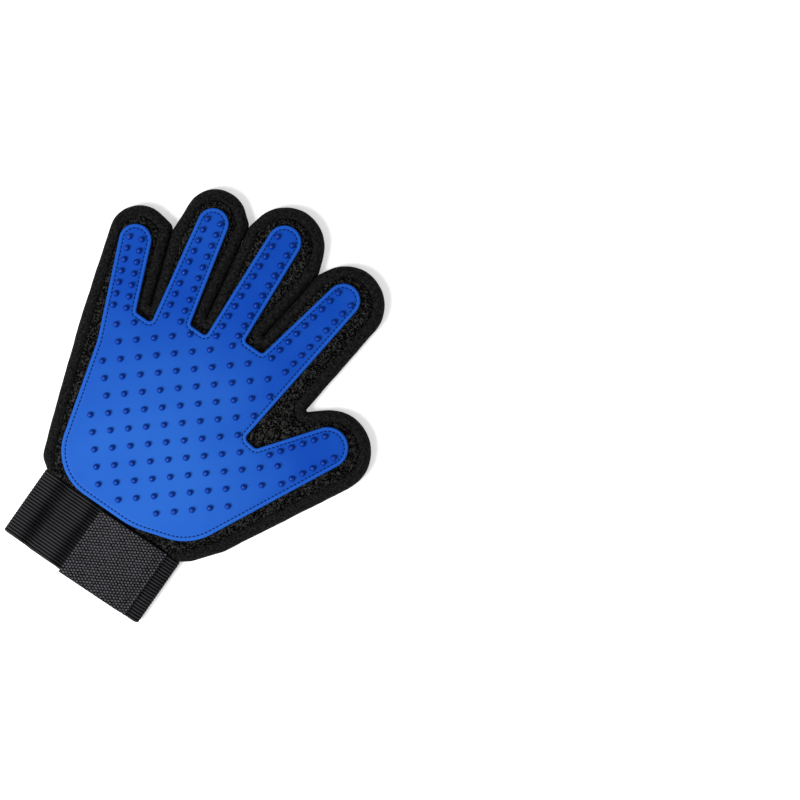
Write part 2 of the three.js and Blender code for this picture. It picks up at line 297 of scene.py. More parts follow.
def fold_point(finger, beyond):
    """The point of a finger's fold at a distance beyond its joint, in mm."""
    place, along = folds[finger]
    return place + np.array([*along, 0]) * beyond * MM


# A line through a crotch: a point on it, in mm from the wrist edge, and the way it runs.
CROTCHES = {
    pair: (crotch, np.subtract(parting, crotch) / np.linalg.norm(np.subtract(parting, crotch)))
    for pair, (crotch, parting) in PARTINGS.items()
}
CROTCHES["index", "thumb"] = ((53.4, 146.4), (0.55, 0.83))


def rightness(pair, points):
    """How far points lie to the right of the line through a crotch."""
    (x, y), (dx, dy) = CROTCHES[pair]
    return (points[:, 0] - x * MM) * dy - (points[:, 1] - WRIST - y * MM) * dx


def fingers_of(points):
    """The finger that each point belongs to, or palm: it lies beyond that finger's fold and between
    the lines through the crotches on its two sides."""
    owner = np.full(len(points), "palm", dtype="<U6")
    order = list(FOLD_START)
    for i, finger in enumerate(order):
        place, along = folds[finger]
        mine = (points[:, :2] - place[:2]) @ along > FOLD_START[finger] * MM
        if i > 0:
            mine &= rightness((order[i - 1], finger), points) > 0
        if i < len(order) - 1:
            mine &= rightness((finger, order[i + 1]), points) < 0
        owner[mine] = finger
    return owner


def share_out(name, whole, material, replaced):
    """Cuts a mesh of the whole glove along the folds and crotch lines, and makes a piece of each
    finger's share and of the palm's."""
    cuts = [(fold_point(f, FOLD_START[f]), (*folds[f][1], 0)) for f in folds]
    cuts += [((x * MM, WRIST + y * MM, 0), (dy, -dx, 0)) for (x, y), (dx, dy) in CROTCHES.values()]
    for place, normal in cuts:
        every = whole.verts[:] + whole.edges[:] + whole.faces[:]
        bmesh.ops.bisect_plane(whole, geom=every, dist=1e-8, plane_co=place, plane_no=normal)
    owners = fingers_of(np.array([face.calc_center_median() for face in whole.faces]))
    for body in ("palm", *FOLD_START):
        part = whole.copy()
        part.faces.ensure_lookup_table()
        unwanted = [part.faces[i] for i in np.flatnonzero(owners != body)]
        bmesh.ops.delete(part, geom=unwanted, context="FACES")
        piece = as_piece(f"{body}_{name}", part, material)
        if body == "palm":
            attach(piece, "palm")
        else:
            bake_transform(piece)
        if replaced(body):
            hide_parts(*replaced(body))
    whole.free()


def as_piece(name, shape, material):
    """A smooth-shaded object of a bmesh, which is used up."""
    mesh = bpy.data.meshes.new(name)
    shape.to_mesh(mesh)
    shape.free()
    mesh.shade_smooth()
    mesh.materials.append(material)
    piece = bpy.data.objects.new(name, mesh)
    scene.collection.objects.link(piece)
    return piece


def new_shape(vertices, faces, flat=None):
    """A bmesh of arrays of vertices and faces, with flat positions in mm as its UV map."""
    mesh = bpy.data.meshes.new("shape")
    mesh.from_pydata(vertices.tolist(), [], faces.tolist() if hasattr(faces, "tolist") else faces)
    if flat is not None:
        corners = np.zeros(len(mesh.loops), int)
        mesh.loops.foreach_get("vertex_index", corners)
        layer = mesh.uv_layers.new(name="cloth")
        layer.data.foreach_set("uv", (np.asarray(flat)[corners] / MM).astype(np.float32).ravel())
    shape = bmesh.new()
    shape.from_mesh(mesh)
    bpy.data.meshes.remove(mesh)
    return shape


def carry(points, normals, profile, closed):
    """A profile of (inset, height) pairs in mm, carried along a path: the point at inset d and
    height z is p - n d, raised by z. Returns the vertices row by row and the faces, with the
    profile closed on itself and both ends of an open path capped."""
    profile = np.asarray(profile, float) * MM
    rows, across = len(points), profile.shape[-2]
    inset = np.broadcast_to(profile[..., 0], (rows, across))
    height = np.broadcast_to(profile[..., 1], (rows, across))
    plan = points[:, None] - normals[:, None] * inset[..., None]
    vertices = np.concatenate([plan, height[..., None]], -1).reshape(-1, 3)
    i = np.arange(rows if closed else rows - 1)[:, None]
    j = np.arange(across)[None]
    a, b = i * across + j, i * across + (j + 1) % across
    c, d = (i + 1) % rows * across + (j + 1) % across, (i + 1) % rows * across + j
    faces = np.stack([a, b, c, d], -1).reshape(-1, 4).tolist()
    if not closed:
        faces += [list(range(across))[::-1], list(range((rows - 1) * across, rows * across))]
    return vertices, faces


# ---- Side strip ----
# A narrow strip of fine knit joins the palm to the back. Turned inside out after sewing, it puffs
# up into a soft roll round every finger, a little uneven where the seams pull it.
ROLL = [(6.4, 8.6), (5.9, 9.4), (5.0, 9.95), (3.9, 10.15), (2.7, 9.9), (1.6, 9.2), (0.75, 8.0),
        (0.15, 6.5), (-0.12, 5.0), (0.15, 3.5), (0.75, 2.1), (1.6, 1.0), (2.7, 0.35), (3.9, 0.12),
        (5.0, 0.2), (5.9, 0.6), (6.4, 1.3), (6.9, 3.0), (7.0, 5.0), (6.9, 7.0)]

KNIT_BLACK = (0.01, 0.01, 0.011, 1)
knit, knit_shader, knit_place = new_material("fine_knit", Base_Color=KNIT_BLACK, Roughness=0.85)
knit_shader.inputs["Specular IOR Level"].default_value = 0.03
knit_uv = Socket(knit.node_tree, knit.node_tree.nodes.new("ShaderNodeUVMap").outputs[0])
KNIT_PITCH = 0.85
along, over, _ = knit_uv.parts()
wave = (along * (math.tau / KNIT_PITCH)).sin() * (over * (math.tau / KNIT_PITCH)).sin() * 0.5 + 0.5
fuzz = knit_place.noise(2200.0, 2.0)
shade = wave * 0.5 + fuzz * 0.5 + knit_place.noise(700.0, 2.0) * 0.8
knit_colour = shade.step(0.65, 1.5).blend((0.0001, 0.0001, 0.0002), (0.036, 0.036, 0.037))
connect(knit_colour, knit_shader, "Base Color")
relief(wave * 0.6 + fuzz * 0.5, knit_shader, 0.9, 0.4 * MM)

path_length = np.concatenate([[0], np.cumsum(np.linalg.norm(np.diff(edge_points, axis=0), axis=1))])
swell = sum(np.sin(path_length / MM * rate + phase) * size
            for rate, phase, size in ((0.21, 0.4, 0.16), (0.37, 2.1, 0.13), (0.83, 1.0, 0.07)))
profile = np.array(ROLL)[None].repeat(len(edge_points), 0)
ROLL_CENTRE, ROLL_SEAM, FREE_WIDTH = 5.0, 6.4, 3
SWELL_UP, SWELL_OUT = 0.05, 0.12
profile[..., 1] = ROLL_CENTRE + (profile[..., 1] - ROLL_CENTRE) * (1 + SWELL_UP * swell[:, None])
profile[..., 0] += swell[:, None] * np.clip(ROLL_SEAM - profile[..., 0], 0, FREE_WIDTH) * SWELL_OUT
vertices, faces = carry(edge_points, edge_normals, profile, closed=False)
girth = np.concatenate([[0], np.cumsum(np.linalg.norm(np.diff(np.array(ROLL), axis=0), axis=1))]) * MM
flat = np.stack([np.repeat(path_length, len(ROLL)), np.tile(girth, len(path_length))], 1)
PALM_WALLS = ("outer_side_wall", "inner_side_wall", "web_wall", "pinky_ring_crotch",
              "ring_middle_crotch", "middle_index_crotch")
share_out("side_strip", new_shape(vertices, faces, flat), knit,
          lambda body: PALM_WALLS if body == "palm" else [f"{body}_side_wall"])


# ---- Mesh palm and back ----
# Two panels of coarse black air mesh in the outline of the hand. They are sewn to the side strip
# and dip into that seam.
def is_inside(points, loop):
    """Whether points lie in a closed loop: a ray to the right crosses it an odd number of times."""
    ax, ay = loop.T
    bx, by = np.roll(loop, -1, 0).T
    x, y = points[:, 0:1], points[:, 1:2]
    spans = (ay > y) != (by > y)
    slope = (bx - ax) / np.where(by == ay, 1, by - ay)
    return ((spans & (x < ax + (y - ay) * slope)).sum(1) % 2).astype(bool)


def to_edge(points, loop):
    """The distance from each point to the nearest of a loop's closely spaced points."""
    return np.sqrt(((points[:, None] - loop[None]) ** 2).sum(-1).min(1))


def fill(loop, pitch):
    """Points and triangles over the inside of a loop, on a triangular lattice. The loop's own
    points come first."""
    low, high = loop.min(0), loop.max(0)
    rows = np.arange(low[1], high[1], pitch * 0.866)
    columns = np.arange(low[0], high[0], pitch)
    y, x = np.meshgrid(rows, columns, indexing="ij")
    x = x + (np.arange(len(rows)) % 2 * pitch / 2)[:, None]
    lattice = np.stack([x.ravel(), y.ravel()], 1)
    lattice = lattice[is_inside(lattice, loop)]
    lattice = lattice[to_edge(lattice, loop) > pitch * 0.6]
    points = np.concatenate([loop, lattice])
    made = delaunay_2d_cdt([Vector(p) for p in points], [], [list(range(len(loop)))], 1, 1e-9)
    return np.array([tuple(v) for v in made[0]]), np.array([f[:] for f in made[2]])


def panel(loop, top, dip, thickness, pitch=2.2 * MM, depth=1.3 * MM):
    """A closed slab over a loop. Its height is top less dip e^(-d / depth), where d is the distance
    to the edge, and its under face lies a thickness below."""
    plan, triangles = fill(loop, pitch)
    height = top - dip * np.exp(-to_edge(plan, loop) / depth)
    upper = np.column_stack([plan, height])
    lower = upper - (0, 0, thickness)
    count, rim = len(plan), np.arange(len(loop))
    after = np.roll(rim, -1)
    walls = np.stack([rim, rim + count, after + count, after], 1)
    faces = triangles.tolist() + (triangles[:, ::-1] + count).tolist() + walls.tolist()
    shape = new_shape(np.concatenate([upper, lower]), faces, np.concatenate([plan, plan]))
    bmesh.ops.recalc_face_normals(shape, faces=shape.faces)
    return shape


def wrist_side(inset):
    """Evenly spaced points along the wrist edge, from the thumb's side to the little finger's."""
    right, rise = (value * MM for value in GLOVE_PEGS[-1][:2])
    x = np.linspace(right - inset, inset - right, 40)
    return np.column_stack([x, np.full_like(x, WRIST + rise)])


MESH_BLACK = (0.008, 0.008, 0.009, 1)
mesh_cloth, mesh_shader, mesh_place = new_material("air_mesh", Base_Color=MESH_BLACK, Roughness=0.9)
mesh_shader.inputs["Specular IOR Level"].default_value = 0.03
MESH_PITCH = 1.5
cells = mesh_place.node("ShaderNodeTexVoronoi", {"feature": "DISTANCE_TO_EDGE"},
                        Vector=mesh_place, Scale=1000 / MESH_PITCH)
strands = 1 - Socket(mesh_cloth.node_tree, cells.outputs["Distance"]).step(0.02, 0.35)
grit = mesh_place.noise(1300.0, 4.0)
shade = strands * 0.3 + grit * 0.5 + mesh_place.noise(650.0, 2.0) * 0.9
mesh_colour = shade.step(0.8, 1.35).blend((0.0001, 0.0001, 0.0001), (0.05, 0.05, 0.048))
connect(mesh_colour, mesh_shader, "Base Color")
relief(strands * 0.6 + grit * 0.6, mesh_shader, 1.0, 0.6 * MM)

SEAM_INSET, MESH_THICKNESS = 6.3 * MM, 1.2 * MM
PALM_TOP, BACK_TOP, SEAM_DIP = 10.2 * MM, 1.3 * MM, 1.3 * MM
seam = edge_points[1:-1] - edge_normals[1:-1] * SEAM_INSET
loop = np.concatenate([seam, wrist_side(SEAM_INSET)])
share_out("mesh", panel(loop, PALM_TOP, SEAM_DIP, MESH_THICKNESS), mesh_cloth,
          lambda body: ["palm_panel"] if body == "palm" else [f"{body}_palm_panel"])
share_out("back", panel(loop, BACK_TOP, 0.0, MESH_THICKNESS), mesh_cloth,
          lambda body: ["back_panel"] if body == "palm" else [f"{body}_back_panel"])

# ---- Rubber face ----
# One moulded sheet of soft blue rubber in the outline of a hand. Its edge is a raised bead, with a
# groove inside it for the stitches, and short domed nubs stand all over it.
RUBBER_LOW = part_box("palm_rubber")[0][2] / MM
RUBBER_THICKNESS = 1.8
FACE = RUBBER_LOW + RUBBER_THICKNESS
# The belt's pegs round the rubber, from the heel up the little finger's side and back by the thumb.
PAD_PEGS = [
    (-19.1, 68.9, 28.1, 1), (-88.7, 102.7, 30, -1),
    (-74.5, 168.1, 8.7, 1), (-50.8, 138.6, 2, -1), (-44.5, 138.6, 2, -1),
    (-45.4, 199.1, 8.4, 1), (-22.9, 149.6, 2, -1), (-16.1, 149.6, 2, -1),
    (-8.4, 212.8, 9.1, 1), (6.3, 159.1, 2, -1), (14.7, 159.1, 2, -1),
    (35.3, 205.4, 9.1, 1), (37.3, 116.9, 2.8, -1), (41.2, 116.4, 2.8, -1),
    (73.6, 135.9, 11.2, 1), (22.2, 75.9, 30.3, 1), (4.0, 92.3, 51.4, 1),
]
BEAD = [(4.4, RUBBER_LOW), (0.5, RUBBER_LOW), (0.08, RUBBER_LOW + 0.3), (0.0, FACE - 1.0),
        (0.12, FACE - 0.4), (0.45, FACE - 0.14), (0.9, FACE - 0.04), (1.35, FACE - 0.05),
        (1.75, FACE - 0.12), (2.15, FACE - 0.2), (2.55, FACE - 0.14), (3.0, FACE - 0.04),
        (3.6, FACE), (4.4, FACE)]

RUBBER_BLUE = (0.005, 0.06, 0.4, 1)
rubber, rubber_shader, rubber_place = new_material("blue_rubber", Base_Color=RUBBER_BLUE, Roughness=0.4)
rubber_shader.inputs["Specular IOR Level"].default_value = 0.05
rubber_shader.inputs["Coat Roughness"].default_value = 0.22
nub_uv = Socket(rubber.node_tree, rubber.node_tree.nodes.new("ShaderNodeUVMap").outputs[0])
on_nub, on_bead, _ = nub_uv.parts()
x, y, _ = rubber_place.parts()
# Painted highlight: the middle of the palm is painted paler and the fingers deeper blue, to stand for
# light falling on the palm. The cloud and the specks are the rubber's own mottling.
HIGHLIGHT_X, HIGHLIGHT_Y = -0.005, -0.03
far = ((x - HIGHLIGHT_X) ** 2.0 + (y - HIGHLIGHT_Y) ** 2.0) ** 0.5
cloud = rubber_place.noise(28.0, 2.0)
speck = rubber_place.noise(1500.0, 2.0)
highlight_and_mottle = (1 - far.step(0.02, 0.1)) * 0.75 + (cloud - 0.5) * 0.6 + speck * 0.2 + 0.1
face_colour = highlight_and_mottle.blend((0.0003, 0.044, 0.36), (0.017, 0.112, 0.50))
bead_colour = (on_bead * (speck * 0.5 + 0.1)).blend(face_colour, (0.02, 0.13, 0.56))
# Painted shade: the nubs' mask paints them a darker blue, for the shade on their steep sides.
connect(on_nub.blend(bead_colour, (0.0008, 0.03, 0.27)), rubber_shader, "Base Color")
connect(cloud * 0.14 + speck * 0.1 + 0.38 - on_nub * 0.2, rubber_shader, "Roughness")
connect(on_nub * 0.5, rubber_shader, "Coat Weight")
relief(speck * 0.6 + rubber_place.noise(160.0) * 0.8, rubber_shader, 0.35, 0.2 * MM)

pad_points, pad_normals = round_pegs(PAD_PEGS, closed=True, step=1.1 * MM)
keep = np.linalg.norm(pad_points - np.roll(pad_points, 1, 0), axis=1) > 1e-6
pad_points, pad_normals = pad_points[keep], pad_normals[keep]
rim_vertices, rim_faces = carry(pad_points, pad_normals, BEAD, closed=True)
across = len(BEAD)
rim_faces = [face for face in rim_faces if not {face[0] % across, face[1] % across} == {0, across - 1}]
inner = pad_points - pad_normals * BEAD[-1][0] * MM
plan, triangles = fill(inner, 2.0 * MM)
rows = len(pad_points)
inside = np.arange(rows, len(plan))
high_of = np.concatenate([np.arange(rows) * across + across - 1, len(rim_vertices) + inside - rows])
low_of = np.concatenate([np.arange(rows) * across, len(rim_vertices) + inside - rows + len(inside)])
fill_top = np.column_stack([plan[rows:], np.full(len(inside), FACE * MM)])
fill_low = np.column_stack([plan[rows:], np.full(len(inside), RUBBER_LOW * MM)])
plate_vertices = np.concatenate([rim_vertices, fill_top, fill_low])
plate_faces = rim_faces + high_of[triangles].tolist() + low_of[triangles[:, ::-1]].tolist()

# The nubs stand in two rows on each finger, and in a diamond lattice over the palm. A finger's line
# gives the root and the tip of its strip, a length back from the tip, the rows' half spacing there
# and at the last nub, how far beyond that place the first nub stands, and the nubs in a row, in mm.
STRIPS = {
    "pinky": ((-56.1, 122.5), (-74.5, 168.1), 33.4, (3.6, 3.3), -3.2, 7),
    "ring": ((-31.3, 133.8), (-45.4, 199.1), 52, (4.3, 3.6), -3.2, 10),
    "middle": ((-3.7, 138.7), (-8.4, 212.8), 52.4, (5, 4.5), -9.5, 11),
    "index": ((25.3, 149.6), (35.3, 205.4), 46, (5.2, 4.6), -3.2, 9),
    "thumb": ((29.7, 67.1), (73.6, 135.9), 38, (8.4, 5.7), 7.8, 6),
}
NUB_PITCH = 6.25
LATTICE_START = (0, 75.5)
LATTICE_STEPS = ((7.3, 6.3), (6.2, -7.0))
rows_of_nubs = []
for root, tip, free, (wide, narrow), first, count in STRIPS.values():
    along = (np.array(tip) - root) / np.linalg.norm(np.array(tip) - root)
    right = np.array([along[1], -along[0]])
    row = np.arange(count)
    beyond = first + row * NUB_PITCH - free
    spread = wide + (narrow - wide) * row / count
    for side in (-1, 1):
        rows_of_nubs.append(np.array(tip) + beyond[:, None] * along + side * spread[:, None] * right)
rows_of_nubs = np.concatenate(rows_of_nubs)
LATTICE_REACH = np.arange(-12, 13)
i, j = (steps.reshape(-1, 1) for steps in np.meshgrid(LATTICE_REACH, LATTICE_REACH))
lattice = np.array(LATTICE_START) + i * LATTICE_STEPS[0] + j * LATTICE_STEPS[1]
lattice = lattice * MM + (0, WRIST)
rows_of_nubs = rows_of_nubs * MM + (0, WRIST)

# The lattice fills belts round these pegs, away from the rows and the folds.
HEEL_AREA = [(-18.4, 69.3, 20.5, 1), (-56.1, 122.5, 5.3, 1), (-31.3, 133.8, 6.9, 1),
             (25.3, 149.6, 8.0, 1), (33, 104, 5, 1), (17.9, 56.0, 7.2, 1)]
THUMB_AREA = [(29.7, 67.1, 11.9, 1), (73.6, 135.9, 8.2, 1)]
NUB_TO_FOLD = 2.1 * MM
areas = [round_pegs(area, closed=True)[0] for area in (HEEL_AREA, THUMB_AREA)]
lattice = lattice[is_inside(lattice, areas[0]) | is_inside(lattice, areas[1])]
lattice = lattice[to_edge(lattice, rows_of_nubs) > NUB_PITCH * MM]
for place, along in folds.values():
    lattice = lattice[(lattice - place[:2]) @ along < -NUB_TO_FOLD]
nubs = np.concatenate([rows_of_nubs, lattice])

NUB = [(2.2, -0.15), (1.8, 0.04), (1.55, 0.35), (1.45, 0.9), (1.35, 1.5), (1.15, 2.05), (0.85, 2.45),
       (0.45, 2.68), (0.0, 2.75)]
NUB_SIDES = 14
# How much painted shade each ring of a nub gets: the nub is painted darker blue for the shade on its steep
# sides.
NUB_SHADE = [0.0, 0.2, 0.7, 1, 1, 1, 0.9, 0.8, 0.8]


def domes(centres, profile, sides, base, first=0):
    """Turned domes: the profile's (radius, height) pairs in mm spun round each centre. The faces'
    vertices are numbered from first."""
    radius, height = np.array(profile).T * MM
    angle = np.arange(sides) * math.tau / sides
    ring_x = radius[:-1, None] * np.cos(angle)
    ring_y = radius[:-1, None] * np.sin(angle)
    ring_z = np.broadcast_to(height[:-1, None], ring_x.shape)
    one = np.stack([ring_x, ring_y, ring_z], -1).reshape(-1, 3)
    one = np.concatenate([one, [[0, 0, height[-1]]]])
    levels = len(radius) - 1
    a = np.arange(levels - 1)[:, None] * sides + np.arange(sides)
    b = np.arange(levels - 1)[:, None] * sides + (np.arange(sides) + 1) % sides
    quads = np.stack([a, b, b + sides, a + sides], -1).reshape(-1, 4)
    last = (levels - 1) * sides + np.arange(sides)
    tips = np.stack([last, (levels - 1) * sides + (np.arange(sides) + 1) % sides,
                     np.full(sides, levels * sides)], 1)
    shift = np.column_stack([centres, np.full(len(centres), base)])
    vertices = (one[None] + shift[:, None]).reshape(-1, 3)
    starts = first + np.arange(len(centres)) * len(one)
    faces = []
    for kind in (quads, tips, np.arange(sides)[None, ::-1]):
        faces += (kind[None] + starts[:, None, None]).reshape(-1, kind.shape[1]).tolist()
    return vertices, faces


nub_vertices, nub_faces = domes(nubs, NUB, NUB_SIDES, FACE * MM, first=len(plate_vertices))
BEAD_PALE = [0.0] * 3 + [0.6] + [1.0] * 4 + [0.4] + [0.0] * 5
one_nub_shade = np.append(np.repeat(NUB_SHADE[:-1], NUB_SIDES), NUB_SHADE[-1])
marks = np.zeros((len(plate_vertices) + len(nub_vertices), 2))
marks[:len(rim_vertices), 1] = np.tile(BEAD_PALE, rows)
marks[len(plate_vertices):, 0] = np.tile(one_nub_shade, len(nubs))
pad_shape = new_shape(np.concatenate([plate_vertices, nub_vertices]), plate_faces + nub_faces, marks * MM)
bmesh.ops.recalc_face_normals(pad_shape, faces=pad_shape.faces)
share_out("rubber", pad_shape, rubber,
          lambda body: ["palm_rubber"] if body == "palm" else [f"{body}_rubber"])

# ---- Stitching ----
# Dark thread runs in the groove inside the rubber's bead and sews the rubber to the mesh. Only the
# upper half of each stitch shows.
STITCH_PITCH = 2.25 * MM
STITCH = [(-0.78, 0.06), (-0.62, 0.22), (-0.2, 0.3), (0.2, 0.3), (0.62, 0.22), (0.78, 0.06)]
STITCH_SIDES = 6
GROOVE_INSET, GROOVE_HEIGHT = 2.2 * MM, (FACE - 0.14) * MM

THREAD_NAVY = (0.001, 0.006, 0.07, 1)
thread, thread_shader, thread_place = new_material("navy_thread", Base_Color=THREAD_NAVY, Roughness=0.6)
thread_shader.inputs["Specular IOR Level"].default_value = 0.05
twist = thread_place.noise(2500.0).blend((0.0003, 0.004, 0.04), (0.001, 0.016, 0.12))
connect(twist, thread_shader, "Base Color")

groove = pad_points - pad_normals * GROOVE_INSET
gaps = np.linalg.norm(np.roll(groove, -1, 0) - groove, axis=1)
run = np.concatenate([[0], np.cumsum(gaps)])
count = int(run[-1] / STITCH_PITCH)
places = (np.arange(count) + 0.5) * run[-1] / count
ring = np.concatenate([groove, groove[:1]])
TANGENT_REACH = 0.3 * MM
middle, ahead, behind = (
    np.stack([np.interp(places + shift, run, ring[:, k]) for k in (0, 1)], 1)
    for shift in (0, TANGENT_REACH, -TANGENT_REACH))
tangent = (ahead - behind) / np.linalg.norm(ahead - behind, axis=1)[:, None]


def beads(centres, tangents, base, lengthways, sides):
    """Small round-sectioned stitches: (distance along, radius) pairs in mm, spun round the tangent
    at each centre, at a base height."""
    reach, radius = np.array(lengthways).T * MM
    angle = np.arange(sides) * math.tau / sides
    side = np.column_stack([-tangents[:, 1], tangents[:, 0]])
    x_y = (centres[:, None, None] + tangents[:, None, None] * reach[None, :, None, None]
           + side[:, None, None] * (radius[:, None] * np.cos(angle))[None, ..., None])
    z = np.broadcast_to(base + (radius[:, None] * np.sin(angle))[None], x_y.shape[:-1])
    vertices = np.concatenate([x_y, z[..., None]], -1).reshape(-1, 3)
    a = np.arange(len(reach) - 1)[:, None] * sides + np.arange(sides)
    b = np.arange(len(reach) - 1)[:, None] * sides + (np.arange(sides) + 1) % sides
    quads = np.stack([a, a + sides, b + sides, b], -1).reshape(-1, 4)
    ends = np.stack([np.arange(sides), (len(reach) - 1) * sides + np.arange(sides)[::-1]])
    starts = np.arange(len(centres)) * len(reach) * sides
    faces = []
    for kind in (quads, ends):
        faces += (kind[None] + starts[:, None, None]).reshape(-1, kind.shape[1]).tolist()
    return vertices, faces


stitch_shape = new_shape(*beads(middle, tangent, GROOVE_HEIGHT, STITCH, STITCH_SIDES))
bmesh.ops.recalc_face_normals(stitch_shape, faces=stitch_shape.faces)
share_out("stitching", stitch_shape, thread, lambda body: [])

# ---- Wrist band ----
# A flat loop of ribbed black elastic, sewn round the wrist. It is open at the front: the longer end
# carries the loop patch, and the hook tab is sewn to the short end.
BAND_HALF, BAND_TALL, BAND_DEEP, BAND_THICK = 44.0, 40.0, 9.0, 1.8
LONG_END, SHORT_END = 29.0, 33.0
RIB_PITCH, RIB_HEIGHT, ROWS_PER_RIB = 1.71, 0.3, 6

ELASTIC_BLACK = (0.014, 0.014, 0.015, 1)
elastic, elastic_shader, elastic_place = new_material(
    "ribbed_elastic", Base_Color=ELASTIC_BLACK, Roughness=0.75)
elastic_shader.inputs["Specular IOR Level"].default_value = 0.04
elastic_uv = Socket(elastic.node_tree, elastic.node_tree.nodes.new("ShaderNodeUVMap").outputs[0])
along, up, _ = elastic_uv.parts()
THREAD_PITCH = 0.62
rib = (up * (math.pi / RIB_PITCH)).sin().size()
pick = (along * (math.tau / THREAD_PITCH)).sin() * 0.5 + 0.5
lint = elastic_place.noise(1800.0, 3.0)
# Painted shade: the elastic is painted darker in vertical bands every 21 mm, where shade falls in the
# band's creases.
CREASE_PITCH, CREASE_PLACE = 21 * MM, -31 * MM
# Painted shade: the band's stub beside the tab's sewn end is painted darker, for the shade that falls
# there beside the tab.
STUB_SHADE_START, STUB_SHADE_FULL = 26 * MM, 36 * MM
across_hand = elastic_place.parts()[0]
painted_crease_shade = ((across_hand - CREASE_PLACE) * (math.tau / CREASE_PITCH) + math.pi / 2).sin() * 0.5 + 0.5
shade = rib * 0.75 + rib * pick * 0.4 + lint * 0.5 + elastic_place.noise(60.0) * 0.3
shade = shade - painted_crease_shade ** 3.0 * 0.3 - 0.24 - across_hand.step(STUB_SHADE_START, STUB_SHADE_FULL) * 0.12
elastic_colour = shade.step(0.5, 1.3).blend((0.0001, 0.0001, 0.0002), (0.044, 0.043, 0.048))
connect(elastic_colour, elastic_shader, "Base Color")
relief(pick * rib * 0.6 + lint * 0.4, elastic_shader, 0.7, 0.2 * MM)

end_round = BAND_DEEP / 2 - BAND_THICK / 2
top_line = BAND_DEEP - BAND_THICK / 2
BAND_PEGS = [(SHORT_END, top_line, 0, 1), (BAND_HALF - BAND_DEEP / 2, BAND_DEEP / 2, end_round, 1),
             (BAND_DEEP / 2 - BAND_HALF, BAND_DEEP / 2, end_round, 1), (LONG_END, top_line, 0, 1)]
band_path, band_normals = round_pegs(BAND_PEGS, closed=False, step=1.2 * MM, origin=(0, 0))
tall = np.linspace(0, BAND_TALL, int(BAND_TALL / RIB_PITCH * ROWS_PER_RIB))
ribs = RIB_HEIGHT * (np.abs(np.sin(tall * math.pi / RIB_PITCH)) ** 0.7 - 1)
SELVEDGE_THIN, SELVEDGE_REACH = 0.45, 0.35
selvedge = SELVEDGE_THIN * (np.exp(-tall / SELVEDGE_REACH) + np.exp((tall - BAND_TALL) / SELVEDGE_REACH))
outer = np.stack([-(BAND_THICK / 2 + ribs - selvedge), tall], 1)
inner = np.stack([BAND_THICK / 2 + ribs - selvedge, tall], 1)[::-1]
band_vertices, band_faces = carry(band_path, band_normals, np.concatenate([outer, inner]), closed=False)
band_vertices = band_vertices[:, [0, 2, 1]] + (0, WRIST, 0)
x, y, z = band_vertices.T
# Soft creases run up the front of the band: each has a depth, a place, a lean and a width.
CREASES = ((1.3, -30.5, 0.06, 2.6), (0.9, -21, -0.05, 2.2), (0.8, -9.5, -0.03, 2.5))
BAND_MIDDLE = -80
front = np.clip((z / MM - BAND_DEEP / 2) / 3, 0, 1)
crease = sum(depth * np.exp(-(((x / MM - place) + (y / MM - BAND_MIDDLE) * lean) / width) ** 2)
             for depth, place, lean, width in CREASES)
WAVER = 0.18 * MM
band_vertices[:, 2] -= front * crease * MM
band_vertices[:, 1] += WAVER * np.sin(x / MM * 0.21) * np.sin(x / MM * 0.083 + 1)
band_run = np.concatenate([[0], np.cumsum(np.linalg.norm(np.diff(band_path, axis=0), axis=1))])
across = 2 * len(tall)
up_and_down = np.tile(np.concatenate([tall, tall[::-1]]), len(band_run)) * MM
band_flat = np.stack([np.repeat(band_run, across), up_and_down], 1)
band_shape = new_shape(band_vertices, band_faces, band_flat)
bmesh.ops.recalc_face_normals(band_shape, faces=band_shape.faces)
band = as_piece("elastic_wrist_band", band_shape, elastic)
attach(band, "palm")
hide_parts("wrist_band")


# ---- Loop patch ----
# A soft patch of looped pile, sewn on the band under the tab. The tab's hooks catch in it.
def cushion(low, high, pitch, upper, lower):
    """A closed slab over a box's plan: its top and under faces are functions of x and y, in mm."""
    nx, ny = (int((high[k] - low[k]) / pitch) + 1 for k in (0, 1))
    x, y = np.meshgrid(*map(np.linspace, low, high, (nx, ny)), indexing="ij")
    top = np.stack([x, y, upper(x, y)], -1).reshape(-1, 3)
    under = np.stack([x, y, lower(x, y)], -1).reshape(-1, 3)
    at = np.arange(nx * ny).reshape(nx, ny)
    sheet = np.stack([at[:-1, :-1], at[1:, :-1], at[1:, 1:], at[:-1, 1:]], -1).reshape(-1, 4)
    border = np.concatenate([at[:, 0], at[-1, 1:], at[-2::-1, -1], at[0, -2:0:-1]])
    after = np.roll(border, -1)
    walls = np.stack([border, border + nx * ny, after + nx * ny, after], 1)
    vertices = np.concatenate([top, under])
    faces = sheet.tolist() + (sheet[:, ::-1] + nx * ny).tolist() + walls.tolist()
    flat = np.stack([x, y], -1).reshape(-1, 2)
    shape = new_shape(vertices * MM + (0, WRIST, 0), faces, np.concatenate([flat, flat]) * MM)
    bmesh.ops.recalc_face_normals(shape, faces=shape.faces)
    return shape


PILE_BLACK = (0.012, 0.012, 0.013, 1)
pile, pile_shader, pile_place = new_material("loop_pile", Base_Color=PILE_BLACK, Roughness=0.95)
pile_shader.inputs["Sheen Weight"].default_value = 0.3
tufts = pile_place.noise(1400.0, 5.0)
pile_colour = tufts.step(0.3, 0.8).blend((0.003, 0.003, 0.003), (0.04, 0.039, 0.04))
connect(pile_colour, pile_shader, "Base Color")
relief(tufts, pile_shader, 1.0, 0.5 * MM)

rng = np.random.default_rng(4)
PATCH_LOW, PATCH_HIGH, PATCH_PITCH = (-2.5, 4.2), (27.0, 35.8), 0.45
PATCH_UNDER, PATCH_TOP, PATCH_EDGE, EDGE_DROP = 9.05, 10.15, 0.3, 0.5
tuft = rng.uniform(-0.14, 0.1, (200, 200))


